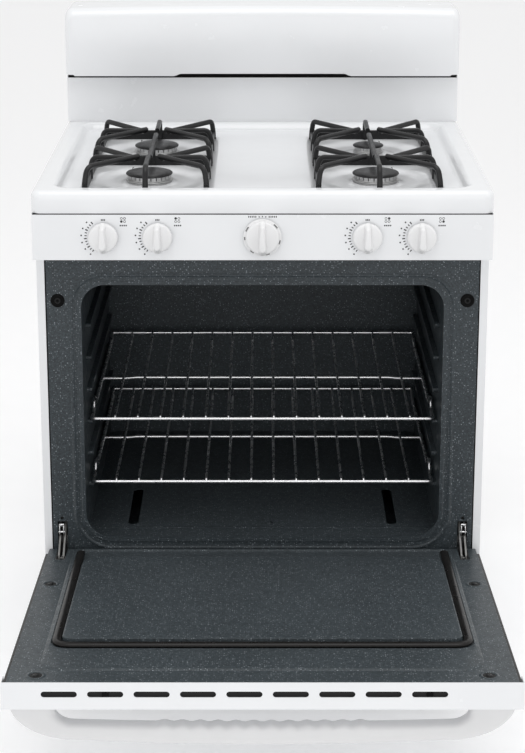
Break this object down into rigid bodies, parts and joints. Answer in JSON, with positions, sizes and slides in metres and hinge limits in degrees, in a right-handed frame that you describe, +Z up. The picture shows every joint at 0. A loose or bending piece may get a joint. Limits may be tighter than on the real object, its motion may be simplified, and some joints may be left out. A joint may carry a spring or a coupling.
{
  "type": "freestanding gas range",
  "caption": "Freestanding gas range with its oven door open: cooktop with burners and grates, backguard, control knobs, oven with racks, and a broiler drawer.",
  "frame": {"origin": "on the floor, under the middle of the object's box with the oven door open", "axes": "+X to the right seen from the front, +Y to the back (the door opens towards -Y), +Z up"},
  "size_m": [0.759, 1.2105, 1.147],
  "materials": {
    "white_enamel": "gloss",
    "white_porcelain": "gloss",
    "grey_porcelain": "speckled gloss",
    "galvanised_steel": "satin",
    "white_plastic": "satin",
    "black_enamel": "satin",
    "cast_aluminium": "satin",
    "chrome_wire": "polished",
    "zinc_steel": "satin",
    "valve_brass": "satin",
    "ceramic": "matte",
    "glass_wool": "matte",
    "braided_gasket": "matte",
    "black_plastic": "matte"
  },
  "bodies": {
    "range_body": {"side_panel_left": "white_enamel", "side_panel_right": "white_enamel", "back_panel": "galvanised_steel", "base_frame": "galvanised_steel", "front_frame": "grey_porcelain", "oven_liner": "grey_porcelain", "oven_floor": "grey_porcelain", "bake_burner": "galvanised_steel", "oven_insulation": "glass_wool", "cooktop": "white_porcelain", "burner_bases": "cast_aluminium", "burner_heads": "cast_aluminium", "spark_electrodes": "ceramic", "backguard": "white_enamel", "backguard_canopy": "white_enamel", "control_panel": "white_enamel", "gas_manifold": "galvanised_steel", "valve_bodies": "valve_brass", "pressure_regulator": "cast_aluminium", "gas_tubes": "cast_aluminium", "hinge_arms": "chrome_wire", "drawer_rails": "galvanised_steel", "panel_screws": "zinc_steel", "vent_duct": "galvanised_steel", "oven_probe": "chrome_wire", "power_inlet": "black_plastic"},
    "oven_door": {"door_outer_panel": "white_enamel", "door_inner_panel": "grey_porcelain", "door_insulation": "glass_wool", "door_gasket": "braided_gasket", "door_handle": "white_plastic", "hinge_channels": "galvanised_steel", "hinge_springs": "zinc_steel"},
    "hinge_rod_pair": {"hinge_rods": "zinc_steel"},
    "broiler_drawer": {"drawer_front": "white_enamel", "drawer_box": "galvanised_steel", "broiler_pan": "grey_porcelain", "broiler_grid": "grey_porcelain"},
    "rack_upper": {"rack_upper": "chrome_wire"},
    "rack_lower": {"rack_lower": "chrome_wire"},
    "grate_left": {"grate_left": "black_enamel"},
    "grate_right": {"grate_right": "black_enamel"},
    "burner_cap_front_left": {"burner_cap_front_left": "black_enamel"},
    "burner_cap_front_right": {"burner_cap_front_right": "black_enamel"},
    "burner_cap_rear_left": {"burner_cap_rear_left": "black_enamel"},
    "burner_cap_rear_right": {"burner_cap_rear_right": "black_enamel"},
    "valve_stem_1": {"valve_stem_1": "valve_brass"},
    "knob_1": {"knob_1": "white_plastic"},
    "valve_stem_2": {"valve_stem_2": "valve_brass"},
    "knob_2": {"knob_2": "white_plastic"},
    "valve_stem_oven": {"valve_stem_oven": "valve_brass"},
    "knob_oven": {"knob_oven": "white_plastic"},
    "valve_stem_3": {"valve_stem_3": "valve_brass"},
    "knob_3": {"knob_3": "white_plastic"},
    "valve_stem_4": {"valve_stem_4": "valve_brass"},
    "knob_4": {"knob_4": "white_plastic"},
    "leveling_leg_front_left": {"leveling_leg_front_left": "zinc_steel"},
    "leveling_leg_front_right": {"leveling_leg_front_right": "zinc_steel"},
    "leveling_leg_rear_left": {"leveling_leg_rear_left": "zinc_steel"},
    "leveling_leg_rear_right": {"leveling_leg_rear_right": "zinc_steel"}
  },
  "joints": [
    {"name": "door_hinge", "type": "hinge", "parent": "range_body", "child": "oven_door", "pos_m": [0, -0.06675, 0.262], "axis": [1, 0, 0], "range_deg": [-85.5, 0]},
    {"name": "hinge_rod_slide", "type": "slide", "parent": "oven_door", "child": "hinge_rod_pair", "axis": [0, -0.9969, 0.0785], "range_m": [0, 0.0147], "deforming": ["hinge_springs"]},
    {"name": "drawer_slide", "type": "slide", "parent": "range_body", "child": "broiler_drawer", "axis": [0, -1, 0], "range_m": [0, 0.34]},
    {"name": "rack_upper_slide", "type": "slide", "parent": "range_body", "child": "rack_upper", "axis": [0, -1, 0], "range_m": [0, 0.28]},
    {"name": "rack_lower_slide", "type": "slide", "parent": "range_body", "child": "rack_lower", "axis": [0, -1, 0], "range_m": [0, 0.28]},
    {"name": "grate_left_lift", "type": "slide", "parent": "range_body", "child": "grate_left", "axis": [0, 0, 1], "range_m": [0, 0.1]},
    {"name": "grate_right_lift", "type": "slide", "parent": "range_body", "child": "grate_right", "axis": [0, 0, 1], "range_m": [0, 0.1]},
    {"name": "burner_cap_front_left_lift", "type": "slide", "parent": "range_body", "child": "burner_cap_front_left", "axis": [0, 0, 1], "range_m": [0, 0.012]},
    {"name": "burner_cap_front_right_lift", "type": "slide", "parent": "range_body", "child": "burner_cap_front_right", "axis": [0, 0, 1], "range_m": [0, 0.012]},
    {"name": "burner_cap_rear_left_lift", "type": "slide", "parent": "range_body", "child": "burner_cap_rear_left", "axis": [0, 0, 1], "range_m": [0, 0.012]},
    {"name": "burner_cap_rear_right_lift", "type": "slide", "parent": "range_body", "child": "burner_cap_rear_right", "axis": [0, 0, 1], "range_m": [0, 0.012]},
    {"name": "valve_push_1", "type": "slide", "parent": "range_body", "child": "valve_stem_1", "axis": [0, 1, 0], "range_m": [0, 0.003], "stiffness_N_per_m": 1500, "springref_m": -0.002},
    {"name": "knob_turn_1", "type": "hinge", "parent": "valve_stem_1", "child": "knob_1", "pos_m": [-0.261, -0.08875, 0.8445], "axis": [0, -1, 0], "range_deg": [0, 225]},
    {"name": "valve_push_2", "type": "slide", "parent": "range_body", "child": "valve_stem_2", "axis": [0, 1, 0], "range_m": [0, 0.003], "stiffness_N_per_m": 1500, "springref_m": -0.002},
    {"name": "knob_turn_2", "type": "hinge", "parent": "valve_stem_2", "child": "knob_2", "pos_m": [-0.172, -0.08875, 0.8445], "axis": [0, -1, 0], "range_deg": [0, 225]},
    {"name": "valve_push_oven", "type": "slide", "parent": "range_body", "child": "valve_stem_oven", "axis": [0, 1, 0], "range_m": [0, 0.003], "stiffness_N_per_m": 1500, "springref_m": -0.002},
    {"name": "knob_turn_oven", "type": "hinge", "parent": "valve_stem_oven", "child": "knob_oven", "pos_m": [0, -0.08875, 0.8445], "axis": [0, -1, 0], "range_deg": [0, 285]},
    {"name": "valve_push_3", "type": "slide", "parent": "range_body", "child": "valve_stem_3", "axis": [0, 1, 0], "range_m": [0, 0.003], "stiffness_N_per_m": 1500, "springref_m": -0.002},
    {"name": "knob_turn_3", "type": "hinge", "parent": "valve_stem_3", "child": "knob_3", "pos_m": [0.172, -0.08875, 0.8445], "axis": [0, -1, 0], "range_deg": [0, 225]},
    {"name": "valve_push_4", "type": "slide", "parent": "range_body", "child": "valve_stem_4", "axis": [0, 1, 0], "range_m": [0, 0.003], "stiffness_N_per_m": 1500, "springref_m": -0.002},
    {"name": "knob_turn_4", "type": "hinge", "parent": "valve_stem_4", "child": "knob_4", "pos_m": [0.261, -0.08875, 0.8445], "axis": [0, -1, 0], "range_deg": [0, 225]},
    {"name": "leg_front_left_screw_out", "type": "slide", "parent": "range_body", "child": "leveling_leg_front_left", "axis": [0, 0, -1], "range_m": [0, 0.018]},
    {"name": "leg_front_right_screw_out", "type": "slide", "parent": "range_body", "child": "leveling_leg_front_right", "axis": [0, 0, -1], "range_m": [0, 0.018]},
    {"name": "leg_rear_left_screw_out", "type": "slide", "parent": "range_body", "child": "leveling_leg_rear_left", "axis": [0, 0, -1], "range_m": [0, 0.018]},
    {"name": "leg_rear_right_screw_out", "type": "slide", "parent": "range_body", "child": "leveling_leg_rear_right", "axis": [0, 0, -1], "range_m": [0, 0.018]}
  ],
  "couplings": [
    {"joint": "hinge_rod_slide", "follows": "door_hinge", "m_per_rad": -0.00985}
  ]
}
